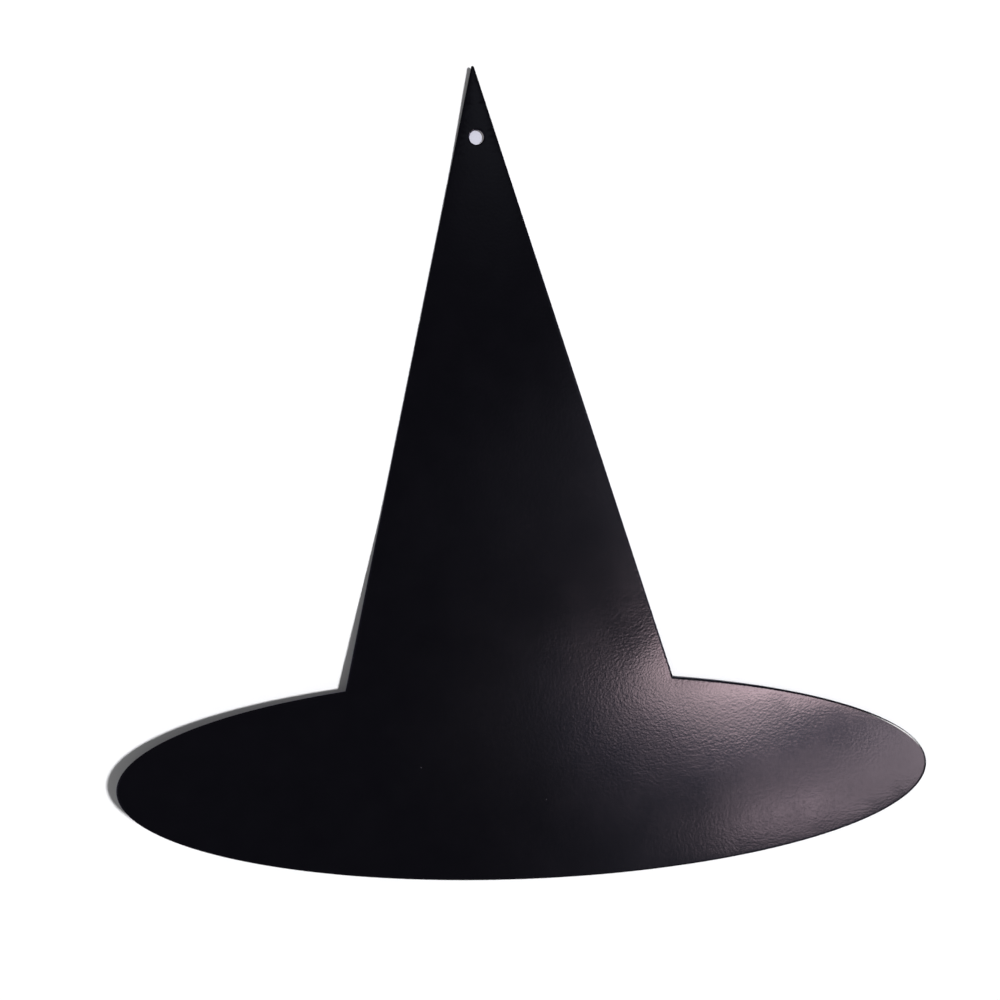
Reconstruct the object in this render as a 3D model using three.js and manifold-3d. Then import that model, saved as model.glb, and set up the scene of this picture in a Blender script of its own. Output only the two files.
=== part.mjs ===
// A wall decoration in the outline of a witch's hat: one flat blank of mild steel sheet, laser cut
// with a round hanging hole near its tip, its edges rounded over, and powder coated black all over.
//
// Millimetres. The decoration hangs upright: +X is to the right for someone who faces its front,
// +Y runs from its front to the wall behind it, and +Z is up, towards the tip. The origin is the
// middle of the hanging hole, in the plane of the coated back.

import * as THREE from 'three';
import { mergeVertices } from 'three/addons/utils/BufferGeometryUtils.js';
import Module from 'manifold-3d';

// Driving dimensions. Those of the outline and the hole are of the finished, coated hat.
const HAT_WIDTH = 400;
const HAT_HEIGHT = 398;
const BRIM_HEIGHT = 101;
const CROWN_WIDTH_AT_BRIM = 161.6;
const TIP_RADIUS = 0.7;
const HOLE_DIAMETER = 7;
const HOLE_BELOW_TIP = 34.5;
const EDGE_RADIUS = 0.5;
const SHEET_THICKNESS = 1.2;
const COAT_THICKNESS = 0.1;

// The bare mark that the coating hook left on the front rim of the hole, where the blank touched
// it: its place round the hole, how far it runs round the rim, and how far into the sheet.
const HOOK_MARK_ANGLE = THREE.MathUtils.degToRad(150);
const HOOK_MARK_WIDTH = 1.2;
const HOOK_MARK_DEPTH = 0.7;

// How finely each curve is divided.
const BRIM_STEPS = 140;
const TIP_STEPS = 8;
const HOLE_STEPS = 36;
const EDGE_STEPS = 2;

const FINISHED_THICKNESS = SHEET_THICKNESS + 2 * COAT_THICKNESS;

const wasm = await Module();
wasm.setup();

// The drawing of the hat: x to the right, y up, origin in the middle of the hanging hole.
const tipY = HOLE_BELOW_TIP;
const brimY = tipY - HAT_HEIGHT + BRIM_HEIGHT / 2;

// The outline of the hat, moved inwards by inset all round: the brim is an ellipse, and each side
// of the crown is a straight line that leaves the rounded tip at a tangent and ends on the brim.
function hatOutline(inset) {
  const brimHalfWidth = HAT_WIDTH / 2;
  const brimHalfHeight = BRIM_HEIGHT / 2;
  const crownHalfWidth = CROWN_WIDTH_AT_BRIM / 2;
  const crownFootY = brimHalfHeight * Math.sqrt(1 - (crownHalfWidth / brimHalfWidth) ** 2);

  // The direction that the right side of the crown faces, as an angle above the x axis.
  const tipCentre = tipY - TIP_RADIUS - brimY;
  const rise = tipCentre - crownFootY;
  const reach = Math.hypot(crownHalfWidth, rise);
  const sideAngle = Math.acos(TIP_RADIUS / reach) - Math.atan2(rise, crownHalfWidth);

  // Where the inset side meets the inset ellipse: its points (a cos t, b sin t) are as far along
  // the side's normal as the side itself.
  const a = brimHalfWidth - inset;
  const b = brimHalfHeight - inset;
  const sideDistance = tipCentre * Math.sin(sideAngle) + TIP_RADIUS - inset;
  const across = a * Math.cos(sideAngle);
  const up = b * Math.sin(sideAngle);
  const cornerAngle = Math.atan2(up, across) + Math.acos(sideDistance / Math.hypot(across, up));

  const brim = new THREE.EllipseCurve(0, brimY, a, b, cornerAngle, Math.PI - cornerAngle, true);
  const tip = new THREE.EllipseCurve(
    0, tipY - TIP_RADIUS, TIP_RADIUS - inset, TIP_RADIUS - inset,
    Math.PI - sideAngle, sideAngle, true,
  );
  return [...brim.getPoints(BRIM_STEPS), ...tip.getPoints(TIP_STEPS)];
}

// A flat plate of the hat's outline with its hole, stood upright. All its surfaces lie inset below
// those of the finished hat, and its edges are rounded about the same centres.
function hatPlate(inset) {
  const shape = new THREE.Shape(hatOutline(inset));
  const holeRadius = HOLE_DIAMETER / 2 + inset;
  const rim = new THREE.EllipseCurve(0, 0, holeRadius, holeRadius, 0, 2 * Math.PI);
  const rimPoints = rim.getPoints(HOLE_STEPS).slice(0, -1);
  shape.holes.push(new THREE.Path(rimPoints));
  const rounding = EDGE_RADIUS - inset;
  const plate = new THREE.ExtrudeGeometry(shape, {
    depth: FINISHED_THICKNESS - 2 * EDGE_RADIUS,
    bevelThickness: rounding,
    bevelSize: rounding,
    bevelOffset: -rounding,
    bevelSegments: EDGE_STEPS,
  });
  plate.rotateX(Math.PI / 2);
  plate.translate(0, -EDGE_RADIUS, 0);
  return plate;
}

// The solid inside a closed geometry, for cutting.
function solidOf(geometry) {
  const bare = geometry.clone();
  bare.deleteAttribute('normal');
  bare.deleteAttribute('uv');
  const merged = mergeVertices(bare);
  return new wasm.Manifold(new wasm.Mesh({
    numProp: 3,
    vertProperties: new Float32Array(merged.attributes.position.array),
    triVerts: new Uint32Array(merged.index.array),
  }));
}

// The geometry of a solid, with flat faces.
function geometryOf(solid) {
  const { vertProperties, triVerts } = solid.getMesh();
  const indexed = new THREE.BufferGeometry();
  indexed.setAttribute('position', new THREE.BufferAttribute(vertProperties, 3));
  indexed.setIndex(new THREE.BufferAttribute(triVerts, 1));
  const geometry = indexed.toNonIndexed();
  geometry.computeVertexNormals();
  return geometry;
}

// The laser-cut steel blank, smaller than the finished hat by the coating on every side.
function sheetCore() {
  const material = new THREE.MeshStandardMaterial({
    color: 0x8d9094,
    roughness: 0.42,
    metalness: 1,
  });
  const mesh = new THREE.Mesh(hatPlate(COAT_THICKNESS), material);
  mesh.name = 'sheet_core';
  return mesh;
}

// The bite that the hook takes out of the coating: a block across the front rim of the hole, as
// thick along the hole's radius as the rounding of the rim, and reaching past the front face.
function hookMark() {
  const block = new THREE.BoxGeometry(EDGE_RADIUS, 2 * HOOK_MARK_DEPTH, HOOK_MARK_WIDTH);
  block.translate(HOLE_DIAMETER / 2, -FINISHED_THICKNESS, 0);
  block.rotateY(-HOOK_MARK_ANGLE);
  return block;
}

// The film of powder coating: the finished hat less the blank inside it, open at the hook's mark.
function powderCoat() {
  const blank = solidOf(hatPlate(COAT_THICKNESS));
  const film = solidOf(hatPlate(0)).subtract(blank).subtract(solidOf(hookMark()));
  const material = new THREE.MeshStandardMaterial({
    color: 0x0d0d10,
    roughness: 0.38,
    metalness: 0,
  });
  const mesh = new THREE.Mesh(geometryOf(film), material);
  mesh.name = 'powder_coat';
  return mesh;
}

const witchHat = new THREE.Group();
witchHat.add(sheetCore(), powderCoat());

export default witchHat;
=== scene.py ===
import math

import bpy
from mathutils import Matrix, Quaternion, Vector, geometry


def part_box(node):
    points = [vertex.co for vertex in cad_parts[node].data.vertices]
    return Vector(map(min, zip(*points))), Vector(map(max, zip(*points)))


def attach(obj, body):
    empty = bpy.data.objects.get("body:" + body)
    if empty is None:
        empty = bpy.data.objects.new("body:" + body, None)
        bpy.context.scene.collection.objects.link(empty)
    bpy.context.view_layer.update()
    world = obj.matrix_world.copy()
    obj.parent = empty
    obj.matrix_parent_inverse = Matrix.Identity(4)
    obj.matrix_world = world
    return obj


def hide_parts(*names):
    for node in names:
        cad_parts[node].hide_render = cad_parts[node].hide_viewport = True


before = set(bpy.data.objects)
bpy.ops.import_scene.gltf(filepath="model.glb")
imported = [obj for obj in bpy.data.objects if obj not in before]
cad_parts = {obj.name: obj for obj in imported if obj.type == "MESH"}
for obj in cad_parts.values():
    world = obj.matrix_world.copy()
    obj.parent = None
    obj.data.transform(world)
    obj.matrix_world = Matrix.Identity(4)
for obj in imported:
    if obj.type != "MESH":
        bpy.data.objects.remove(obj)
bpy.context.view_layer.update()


# The blank. Mild steel sheet, cold rolled, cut by laser and tumbled to round its edges over.
# The coating covers it, apart from the speck on the rim of the hole where the wire hook touched.
MM = 0.001
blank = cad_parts["sheet_core"]


def linear(colour):
    """The linear colour of an sRGB hex value such as "#8d9094"."""
    channels = [int(colour[i:i + 2], 16) / 255 for i in (1, 3, 5)]
    return [c / 12.92 if c <= 0.04045 else ((c + 0.055) / 1.055) ** 2.4 for c in channels] + [1]


def add(tree, kind, options=None, **inputs):
    """Adds a shader node. options are its own settings. inputs are its sockets, by name with _ for
    a space or by number after a leading _, each with its value or the socket that feeds it."""
    node = tree.nodes.new("ShaderNode" + kind)
    for name, value in (options or {}).items():
        setattr(node, name, value)
    for name, value in inputs.items():
        socket = node.inputs[int(name[1:]) if name[0] == "_" else name.replace("_", " ")]
        if isinstance(value, bpy.types.NodeSocket):
            tree.links.new(value, socket)
        else:
            socket.default_value = value
    return node


def new_material(name):
    """An empty node material and its tree."""
    material = bpy.data.materials.new(name)
    material.use_nodes = True
    material.node_tree.nodes.clear()
    return material, material.node_tree


# Cold-rolled steel, bare: a dull silver with a grain along the way it was rolled, here along X,
# and a faint cloudiness from the cleaning bath. The grain of 0.05 mm is drawn at 0.2 mm to show.
cold_rolled_steel, tree = new_material("cold_rolled_steel")
place = add(tree, "TexCoord").outputs["Object"]
rolled = add(tree, "Mapping", Vector=place, Scale=(0.03, 1, 1)).outputs["Vector"]
grain = add(tree, "TexNoise", Vector=rolled, Scale=1 / (0.2 * MM), Detail=4, Roughness=0.6)
clouds = add(tree, "TexNoise", Vector=place, Scale=1 / (6 * MM), Detail=3)
tone = add(
    tree, "Mix", {"data_type": "RGBA"},
    _0=clouds.outputs["Fac"], _6=linear("#85888d"), _7=linear("#a3a6aa"),
).outputs[2]
dull = add(
    tree, "MapRange", Value=grain.outputs["Fac"],
    From_Min=0.3, From_Max=0.7, To_Min=0.34, To_Max=0.48,
).outputs["Result"]
ridges = add(tree, "Bump", Height=grain.outputs["Fac"], Strength=0.4, Distance=0.004 * MM)
steel = add(
    tree, "BsdfPrincipled", Base_Color=tone, Roughness=dull, Metallic=1.0,
    Normal=ridges.outputs["Normal"],
)
add(tree, "OutputMaterial", Surface=steel.outputs["BSDF"])
blank.data.materials.clear()
blank.data.materials.append(cold_rolled_steel)


# The powder coating. A film of black polyester, sprayed on as powder and baked until it flowed,
# over both faces, the cut edges and the wall of the hole. It draws thin over the rounded edges,
# so its own edge is a broad, soft shoulder.
film_low, film_high = (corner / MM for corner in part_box("powder_coat"))
half_width = (film_high.x - film_low.x) / 2
thickness = film_high.y - film_low.y
brim_half_height = 101 / 2
brim_z = film_low.z + brim_half_height
crown_half_width = 161.6 / 2
tip_radius = 0.7
hole_radius = 3.5
film = 0.1
film_clearance = 0.005
shoulder_width = 1.0
shoulder_depth = 0.5

# How finely it is divided, and the spacing of the points that fill its faces.
shoulder_steps = 10
brim_steps = 420
side_steps = 90
tip_steps = 8
hole_steps = 72
face_grid = 8

# The hook's mark: the squares that are missing from the wall of the hole, as pairs of how many
# rows down from the face and how many steps round from the right. The coating broke off there
# with the hook, so the mark has a ragged top.
hook_rows = {27: 5, 28: 3, 29: 2, 30: 1, 31: 2, 32: 4}
hook_mark = {
    (row, turn) for turn, first in hook_rows.items() for row in range(first, shoulder_steps + 1)
}


def spread(start, end, steps):
    """Evenly spaced numbers from start to end, both included."""
    return [start + (end - start) * i / steps for i in range(steps + 1)]


def hat_outline(inset):
    """The hat's outline as points (x, z) in mm, moved inwards by inset: round the brim from its
    right corner by way of the bottom, up the left side of the crown, over the tip and down."""
    foot = brim_half_height * math.sqrt(1 - (crown_half_width / half_width) ** 2)
    tip_centre = film_high.z - tip_radius - brim_z
    rise = tip_centre - foot
    reach = math.hypot(crown_half_width, rise)
    facing = math.acos(tip_radius / reach) - math.atan2(rise, crown_half_width)

    a, b = half_width - inset, brim_half_height - inset
    across, up = a * math.cos(facing), b * math.sin(facing)
    side_distance = tip_centre * math.sin(facing) + tip_radius - inset
    corner = math.atan2(up, across) + math.acos(side_distance / math.hypot(across, up))
    turns = spread(corner, -math.pi - corner, brim_steps)
    brim = [(a * math.cos(t), brim_z + b * math.sin(t)) for t in turns]

    radius = tip_radius - inset
    if radius > 0:
        turns = spread(math.pi - facing, facing, tip_steps)
        centre = brim_z + tip_centre
        tip = [(radius * math.cos(t), centre + radius * math.sin(t)) for t in turns]
    else:
        tip = [(0, brim_z + side_distance / math.sin(facing))]

    def along(start, end):
        steps = spread(0, 1, side_steps)[1:-1]
        return [tuple(s + (e - s) * t for s, e in zip(start, end)) for t in steps]

    return brim + along(brim[-1], tip[0]) + tip + along(tip[-1], brim[0])


def hole_outline(inset):
    """The hole's outline as points (x, z) in mm, moved outwards into the metal by inset."""
    radius = hole_radius + inset
    turns = [2 * math.pi * i / hole_steps for i in range(hole_steps)]
    return [(radius * math.cos(t), radius * math.sin(t)) for t in turns]


def room_for(x, z, margin):
    """Whether a point is on the face with that margin to the edge and to the hole."""
    if math.hypot(x, z) < hole_radius + margin:
        return False
    a, b = half_width - margin, brim_half_height - margin
    if (x / a) ** 2 + ((z - brim_z) / b) ** 2 < 1:
        return True
    slope = crown_half_width / (film_high.z - brim_z)
    # Along the level, a margin to the slanting side is a little longer.
    level_margin = 1.05 * margin
    return z > brim_z and abs(x) + level_margin < slope * (film_high.z - z)


def hat_skin(inset, width, depth):
    """A closed skin of the hat, inset below the finished surface, open at the hook's mark. Its
    edges fall away over that width and depth, a quarter of an ellipse. Returns its points, its
    faces and the rows of points down the wall of the hole."""
    points, faces = [], []
    turns = spread(math.pi / 2, 0, shoulder_steps)
    profile = [(width * (1 - math.cos(t)), depth * (1 - math.sin(t))) for t in turns]
    flat = (width * 1.3, 0)
    # Round the outline, the face reaches out to where the inset tip still has a radius.
    lip = next(i for i, (step, _) in enumerate(profile) if inset + step < 0.95 * tip_radius)

    def add_ring(outline, step, drop, back=False):
        y = -inset - drop if back else inset + drop - thickness
        first = len(points)
        points.extend((x, y, z) for x, z in outline(inset + step))
        return list(range(first, len(points)))

    # Both faces, filled with triangles between their rings and a loose grid of points.
    edge_rings, hole_rings = {}, {}
    for back in (False, True):
        rings = [add_ring(hat_outline, *level, back) for level in [flat] + profile[:lip + 1]]
        holes = [add_ring(hole_outline, *level, back) for level in (flat, profile[0])]
        used = [i for ring in rings + holes for i in ring]
        edges = []
        for ring in (rings[-1], holes[-1]):
            edges += [(used.index(p), used.index(q)) for p, q in zip(ring, ring[1:] + ring[:1])]
        for row in range(int(film_low.z / face_grid), int(film_high.z / face_grid)):
            reach = int(half_width / face_grid)
            for column in range(-reach, reach + 1):
                x, z = (column + row % 2 / 2) * face_grid, row * face_grid
                if room_for(x, z, inset + width * 2 + 2):
                    points.append((x, -inset if back else inset - thickness, z))
                    used.append(len(points) - 1)
        spots = [Vector((points[i][0], points[i][2])) for i in used]
        filled = geometry.delaunay_2d_cdt(spots, edges, [], 1, 1e-6)
        origin = [used[source[0]] for source in filled[3]]
        for triangle in filled[2]:
            corners = [origin[i] for i in triangle]
            if not set(corners) <= set(holes[-1]):
                faces.append(tuple(corners[::-1] if back else corners))
        edge_rings[back], hole_rings[back] = rings[-1], holes[-1]

    # The rest of each shoulder, down to the wall, and the wall between the two.
    for outline, ends, below in ((hat_outline, edge_rings, lip), (hole_outline, hole_rings, 0)):
        front = [ends[False]] + [add_ring(outline, *level) for level in profile[below + 1:]]
        back = [ends[True]] + [add_ring(outline, *level, True) for level in profile[below + 1:]]
        middle = add_ring(outline, 0, thickness / 2 - inset)
        rows = front + [middle] + back[::-1]
        around_hole = outline is hole_outline
        for row, (ring, following) in enumerate(zip(rows, rows[1:])):
            for i in range(len(ring)):
                after = (i + 1) % len(ring)
                quad = (ring[i], ring[after], following[after], following[i])
                if not around_hole or (row, i) not in hook_mark:
                    faces.append(quad)
    return points, faces, rows


outer_points, outer_faces, outer_rows = hat_skin(0, shoulder_width, shoulder_depth)
core_radius = shoulder_depth - film
inner_points, inner_faces, inner_rows = hat_skin(film - film_clearance, core_radius, core_radius)
shift = len(outer_points)
faces = outer_faces + [tuple(i + shift for i in reversed(face)) for face in inner_faces]

# The broken edge of the film round the hook's mark, from the outer skin to the inner one.
sides = set()
for row, turn in hook_mark:
    corners = [(row, turn), (row, turn + 1), (row + 1, turn + 1), (row + 1, turn)]
    sides.update(zip(corners, corners[1:] + corners[:1]))
for start, end in sorted(sides):
    if (end, start) not in sides:
        outer = [outer_rows[row][turn] for row, turn in (start, end)]
        inner = [inner_rows[row][turn] + shift for row, turn in (end, start)]
        faces.append(tuple(outer + inner))

mesh = bpy.data.meshes.new("powder_coating")
mesh.from_pydata([Vector(p) * MM for p in outer_points + inner_points], [], faces)
mesh.validate()
mesh.shade_smooth()
mesh.set_sharp_from_angle(angle=math.radians(40))
powder_coating = bpy.data.objects.new("powder_coating", mesh)
bpy.context.scene.collection.objects.link(powder_coating)

# Black polyester powder coat, semi-gloss. It shines like glass seen through slight ripples: the
# orange peel, about a millimetre across and a hundredth of one high, that the powder leaves as it
# flows, with finer grains between. The sheet itself sways by a tenth of a millimetre, which bends
# what it mirrors. Wiping has left it a little duller in patches, a few grains of dust are baked
# into it as nibs, and pale dust lies on it here and there.
black_powder_coat, tree = new_material("black_powder_coat")
place = add(tree, "TexCoord").outputs["Object"]
peel = add(tree, "TexNoise", Vector=place, Scale=1 / (1.05 * MM), Detail=1, Roughness=0.5)
grains = add(tree, "TexNoise", Vector=place, Scale=1 / (0.8 * MM), Detail=2, Roughness=0.5)
sway = add(tree, "TexNoise", Vector=place, Scale=1 / (45 * MM), Detail=0)
wiped = add(tree, "TexNoise", Vector=place, Scale=1 / (28 * MM), Detail=3, Roughness=0.55)
tint = add(tree, "TexNoise", Vector=place, Scale=1 / (14 * MM), Detail=2)

# Nibs and dust: one grain to a cell, but only in the few cells whose own random colour is high.
# The radii and the sizes of the cells are in millimetres.
nib_radius, nib_spacing = 0.36, 9
dust_radius, dust_spacing = 0.272, 17
nib_cell = add(tree, "TexVoronoi", Vector=place, Scale=1 / (nib_spacing * MM))
nib_kept = add(tree, "Math", {"operation": "GREATER_THAN"}, _0=nib_cell.outputs["Color"], _1=0.72)
nib_near = add(
    tree, "MapRange", {"interpolation_type": "SMOOTHSTEP"}, Value=nib_cell.outputs["Distance"],
    From_Min=nib_radius / nib_spacing, From_Max=0.0, To_Min=0.0, To_Max=1.0,
)
nib = add(
    tree, "Math", {"operation": "MULTIPLY"}, _0=nib_near.outputs["Result"], _1=nib_kept.outputs[0],
)
dust_cell = add(tree, "TexVoronoi", Vector=place, Scale=1 / (dust_spacing * MM))
dust_kept = add(
    tree, "Math", {"operation": "GREATER_THAN"}, _0=dust_cell.outputs["Color"], _1=0.8,
)
dust_near = add(
    tree, "Math", {"operation": "LESS_THAN"},
    _0=dust_cell.outputs["Distance"], _1=dust_radius / dust_spacing,
)
dust = add(
    tree, "Math", {"operation": "MULTIPLY"}, _0=dust_near.outputs[0], _1=dust_kept.outputs[0],
)

black = add(
    tree, "Mix", {"data_type": "RGBA"},
    _0=tint.outputs["Fac"], _6=linear("#030304"), _7=linear("#060608"),
).outputs[2]
colour = add(
    tree, "Mix", {"data_type": "RGBA"}, _0=dust.outputs[0], _6=black, _7=linear("#38373b"),
).outputs[2]
polish = add(
    tree, "MapRange", Value=wiped.outputs["Fac"],
    From_Min=0.35, From_Max=0.7, To_Min=0.125, To_Max=0.165,
).outputs["Result"]
dullness = add(
    tree, "Mix", {"data_type": "FLOAT"}, _0=dust.outputs[0], _2=polish, _3=0.6,
).outputs[0]
bend = add(tree, "Bump", Height=sway.outputs["Fac"], Strength=1.0, Distance=0.25 * MM)
ripple = add(
    tree, "Bump", Height=peel.outputs["Fac"], Strength=1.0, Distance=0.031 * MM,
    Normal=bend.outputs["Normal"],
)
sand = add(
    tree, "Bump", Height=grains.outputs["Fac"], Strength=1.0, Distance=0.01 * MM,
    Normal=ripple.outputs["Normal"],
)
bumps = add(
    tree, "Bump", Height=nib.outputs[0], Strength=1.0, Distance=0.02 * MM,
    Normal=sand.outputs["Normal"],
)
coat = add(
    tree, "BsdfPrincipled", Base_Color=colour, Roughness=dullness, IOR=1.5,
    Normal=bumps.outputs["Normal"],
)
add(tree, "OutputMaterial", Surface=coat.outputs["BSDF"])
mesh.materials.append(black_powder_coat)
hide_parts("powder_coat")
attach(powder_coating, "root")


# The camera. It stands about a metre away, to the right of the hat's middle and a little above
# it, and looks slightly down and across.
camera_data = bpy.data.cameras.new("camera")
camera_data.lens = 72
camera_data.sensor_width = 36
camera = bpy.data.objects.new("camera", camera_data)
camera.location = (0.096, -0.9726, brim_z * MM + 0.1767)
camera.rotation_euler = [math.radians(angle) for angle in (87.647, 3.275, 5.430)]
bpy.context.scene.collection.objects.link(camera)
bpy.context.scene.camera = camera
bpy.context.scene.view_settings.view_transform = "Standard"


# The wall: a plain white board that the hat hangs against. The hat leans on it with its crown, so
# the gap behind it widens towards the brim, most on the left, and a little towards the tip.
def staged(name, corners, quads, material):
    """A stage object, which isn't part of the hat, from its corners and faces."""
    mesh = bpy.data.meshes.new(name)
    mesh.from_pydata(corners, [], quads)
    mesh.shade_smooth()
    mesh.materials.append(material)
    made = bpy.data.objects.new(name, mesh)
    bpy.context.scene.collection.objects.link(made)
    return made


# Matt white paint on the board's front. Its back is clear, so that the hat can be seen from behind.
# Within 4 mm of a spot behind the hanging hole the paint is darker, a painted half shade, and
# within
# 8 mm it glows faintly, a painted bounce light in place of the light the hole's wall throws back.
white_board, tree = new_material("white_board")
spot = add(tree, "TexCoord").outputs["Object"]
painted_shade_centre = (-1.1 * MM, 0, 0)
far = add(tree, "VectorMath", {"operation": "DISTANCE"}, _0=spot, _1=painted_shade_centre).outputs["Value"]
# Painted shade: the paint is darker within 4 mm of that spot.
painted_shade_mask = add(tree, "Math", {"operation": "LESS_THAN"}, _0=far, _1=4 * MM).outputs[0]
paint = add(
    tree, "Mix", {"data_type": "RGBA"}, _0=painted_shade_mask, _6=linear("#f4f4f6"), _7=linear("#b6b7c6"),
).outputs[2]
matt = add(tree, "BsdfDiffuse", Color=paint)
# Painted light: a faint glow within 8 mm of that spot, for the light the hole's wall throws back.
painted_glow_mask = add(tree, "Math", {"operation": "LESS_THAN"}, _0=far, _1=8 * MM).outputs[0]
painted_glow_strength = add(tree, "Math", {"operation": "MULTIPLY"}, _0=painted_glow_mask, _1=0.11).outputs[0]
painted_bounce_glow = add(tree, "Emission", Color=linear("#fff4f0"), Strength=painted_glow_strength)
front = add(tree, "AddShader", _0=matt.outputs[0], _1=painted_bounce_glow.outputs[0])
clear = add(tree, "BsdfTransparent")
behind = add(tree, "NewGeometry").outputs["Backfacing"]
board = add(tree, "MixShader", _0=behind, _1=front.outputs[0], _2=clear.outputs[0])
add(tree, "OutputMaterial", Surface=board.outputs[0])

# The crown touches the board between these two heights, the lower one taken at touch_left, and is
# pressed into it by a quarter of a millimetre. Beyond them the board falls away by these slopes.
touch_bottom, touch_top = -0.174, -0.012
touch_left = -0.08
slope_down, slope_left, slope_up = 0.09, 0.026, 0.072
pressed_in = 0.25 * MM


def eased(gap):
    """The gap where it is above nought, eased into nought within half a millimetre."""
    return (gap + math.hypot(gap, 0.5 * MM)) / 2


wall_columns = spread(-1.5, 1.5, 60)
wall_rows = spread(-0.75, 1.25, 200)
corners = []
for z in wall_rows:
    for x in wall_columns:
        below = slope_down * (touch_bottom - z) + slope_left * (touch_left - x)
        above = slope_up * (z - touch_top)
        corners.append((x, eased(below) + eased(above) - pressed_in, z))
wide = len(wall_columns)
quads = [
    (i, i + 1, i + 1 + wide, i + wide)
    for i in range(len(corners) - wide) if (i + 1) % wide
]
wall = staged("wall", corners, quads, white_board)
wall.visible_diffuse = False
wall.visible_glossy = False
wall.visible_transmission = False
wall.visible_shadow = False

# The floor, plain, matt and pale, well below the hat. It glows a little, as a floor does in a room
# that is lit from all sides.
pale_floor, tree = new_material("pale_floor")
matt = add(tree, "BsdfDiffuse", Color=linear("#ececee"))
lift = add(tree, "Emission", Color=linear("#ffffff"), Strength=0.55)
paint = add(tree, "AddShader", _0=matt.outputs[0], _1=lift.outputs[0])
add(tree, "OutputMaterial", Surface=paint.outputs[0])
floor_z = film_low.z * MM - 0.35
floor_reach = 3
corners = [
    (x * floor_reach, y * floor_reach, floor_z) for x, y in ((-1, -1), (1, -1), (1, 1), (-1, 1))
]
floor = staged("floor", corners, [(0, 1, 2, 3)], pale_floor)
floor.visible_diffuse = False
floor.visible_glossy = False
floor.visible_shadow = False


# Plain, soft studio light: the pale room, a lamp to the right and, for the sheet to shine in, a
# soft ring of light round it and soft oval lights, which it alone sees. The ring is brightest level
# with the sheet, patchy as a room with windows is, and open towards where the camera stands.
world = bpy.data.worlds.new("studio")
world.use_nodes = True
bpy.context.scene.world = world
tree = world.node_tree
tree.nodes.clear()
way = add(tree, "TexCoord").outputs["Generated"]
ahead = add(tree, "VectorMath", {"operation": "DOT_PRODUCT"}, _0=way, _1=(-0.1, -0.99, -0.03))
height = add(tree, "SeparateXYZ", Vector=way).outputs["Z"]
clouds = add(tree, "TexNoise", Vector=way, Scale=1.7, Detail=0).outputs["Fac"]
ring = None
for value, low_end, high_end, least in (
    (ahead.outputs["Value"], 0.945, 0.766, 0), (height, -0.68, -0.35, 0), (height, 0.3, 0, 0),
    (clouds, 0.4, 0.62, 0.15),
):
    part = add(
        tree, "MapRange", {"interpolation_type": "SMOOTHSTEP"}, Value=value,
        From_Min=low_end, From_Max=high_end, To_Min=least, To_Max=1.0,
    ).outputs["Result"]
    if ring is not None:
        part = add(tree, "Math", {"operation": "MULTIPLY"}, _0=ring, _1=part).outputs[0]
    ring = part
glow = add(tree, "Math", {"operation": "MULTIPLY_ADD"}, _0=ring, _1=1.2, _2=0.08).outputs[0]
path = add(tree, "LightPath")
room = add(tree, "Background", Color=linear("#ffffff"), Strength=0.2)
seen = add(tree, "Background", Color=linear("#ffffff"), Strength=1.0)
mirrored = add(tree, "Background", Color=linear("#d7d1ff"), Strength=glow)
unseen = add(
    tree, "MixShader", _0=path.outputs["Is Glossy Ray"], _1=room.outputs[0], _2=mirrored.outputs[0],
)
light = add(
    tree, "MixShader", _0=path.outputs["Is Camera Ray"], _1=unseen.outputs[0], _2=seen.outputs[0],
)
add(tree, "OutputWorld", Surface=light.outputs[0])

lamp_data = bpy.data.lights.new("lamp", "SUN")
lamp_data.energy = 3.6
lamp_data.angle = math.radians(5)
lamp = bpy.data.objects.new("lamp", lamp_data)
lamp.rotation_euler = Vector((0.6, -1, -0.035)).to_track_quat("Z", "Y").to_euler()
lamp.visible_glossy = False
bpy.context.scene.collection.objects.link(lamp)


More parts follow.
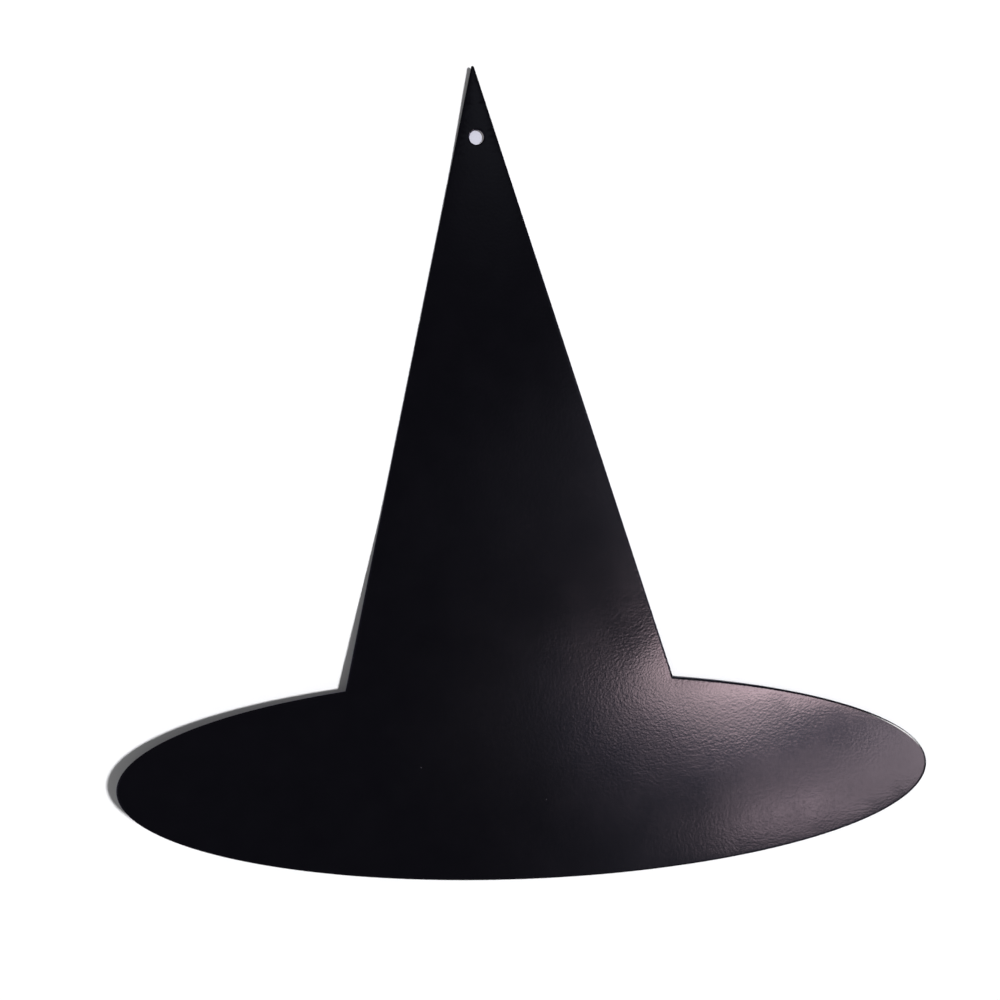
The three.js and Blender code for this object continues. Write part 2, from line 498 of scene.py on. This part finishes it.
def oval_light(name, place, size, aim, turn, core, colour, strength, fall="SMOOTHSTEP"):
    """A flat oval light with a soft edge, which only reflections see. size is its half width and
    half height, turn how far it is turned, core how much of it is at full strength, and fall how
    it falls off from there."""
    glow, tree = new_material(name)
    spot = add(tree, "TexCoord").outputs["Object"]
    off_middle = add(tree, "VectorMath", {"operation": "LENGTH"}, _0=spot).outputs["Value"]
    fade = add(
        tree, "MapRange", {"interpolation_type": fall}, Value=off_middle,
        From_Min=1.0, From_Max=core, To_Min=0.0, To_Max=strength,
    ).outputs["Result"]
    lit = add(tree, "Emission", Color=linear(colour), Strength=fade)
    clear = add(tree, "BsdfTransparent")
    both = add(tree, "AddShader", _0=lit.outputs[0], _1=clear.outputs[0])
    add(tree, "OutputMaterial", Surface=both.outputs[0])
    made = staged(name, [(-1, -1, 0), (1, -1, 0), (1, 1, 0), (-1, 1, 0)], [(0, 1, 2, 3)], glow)
    facing = Vector(aim).to_track_quat("Z", "Y")
    made.rotation_mode = "QUATERNION"
    made.rotation_quaternion = facing @ Quaternion((0, 0, 1), math.radians(turn))
    made.location = place
    made.scale = (*size, 1)
    made.visible_camera = False
    made.visible_diffuse = False
    made.visible_transmission = False
    made.visible_shadow = False


# What the sheet mirrors of the room in front of it: the window and what stands round it. Each is
# named for what it stands for, and their places in depth differ so that none lies in another.
facing_hat = (0, 1, 0)
oval_light(
    "window", (0.134, -0.6, -0.344), (0.123, 0.041), facing_hat, -8, 0, "#ffdfe4", 21, "LINEAR",
)
for name, place, size, turn, core, colour, strength in (
    ("sill", (0.137, -0.605, -0.363), (0.192, 0.088), -3, 0, "#c5ccff", 1.25),
    ("curtain", (0.382, -0.61, -0.35), (0.227, 0.076), -30, 0.7, "#ffe8f6", 4.35),
    ("table", (0.164, -0.595, -0.454), (0.103, 0.019), -17, 0, "#ffe2f0", 11.5),
    ("door", (0.109, -0.59, -0.28), (0.043, 0.154), -25, 0.42, "#f1eaff", 0.6),
    ("ceiling", (-0.04, -0.61, 0.14), (0.09, 0.2), 0, 0, "#e6ecff", 0.2),
    ("room_right", (0.209, -0.615, -0.092), (0.145, 0.415), -118, 0, "#ebe7ff", 0.43),
    ("room_left", (-0.007, -0.625, -0.358), (0.152, 0.1), -23, 0, "#f8f1ff", 0.15),
    ("room_low", (0.2, -0.62, -0.537), (0.394, 0.274), 71, 0, "#e4e2ff", 0.6),
):
    oval_light(name, place, size, facing_hat, turn, core, colour, strength)

# A small bright light close to the right end of the brim, for the glint along its rounded edge.
oval_light(
    "glint", (0.2175, -0.0657, -0.288), (0.0406, 0.0168), (-0.5, 0.8, -0.33), 175, 0.26,
    "#ffffff", 36,
)
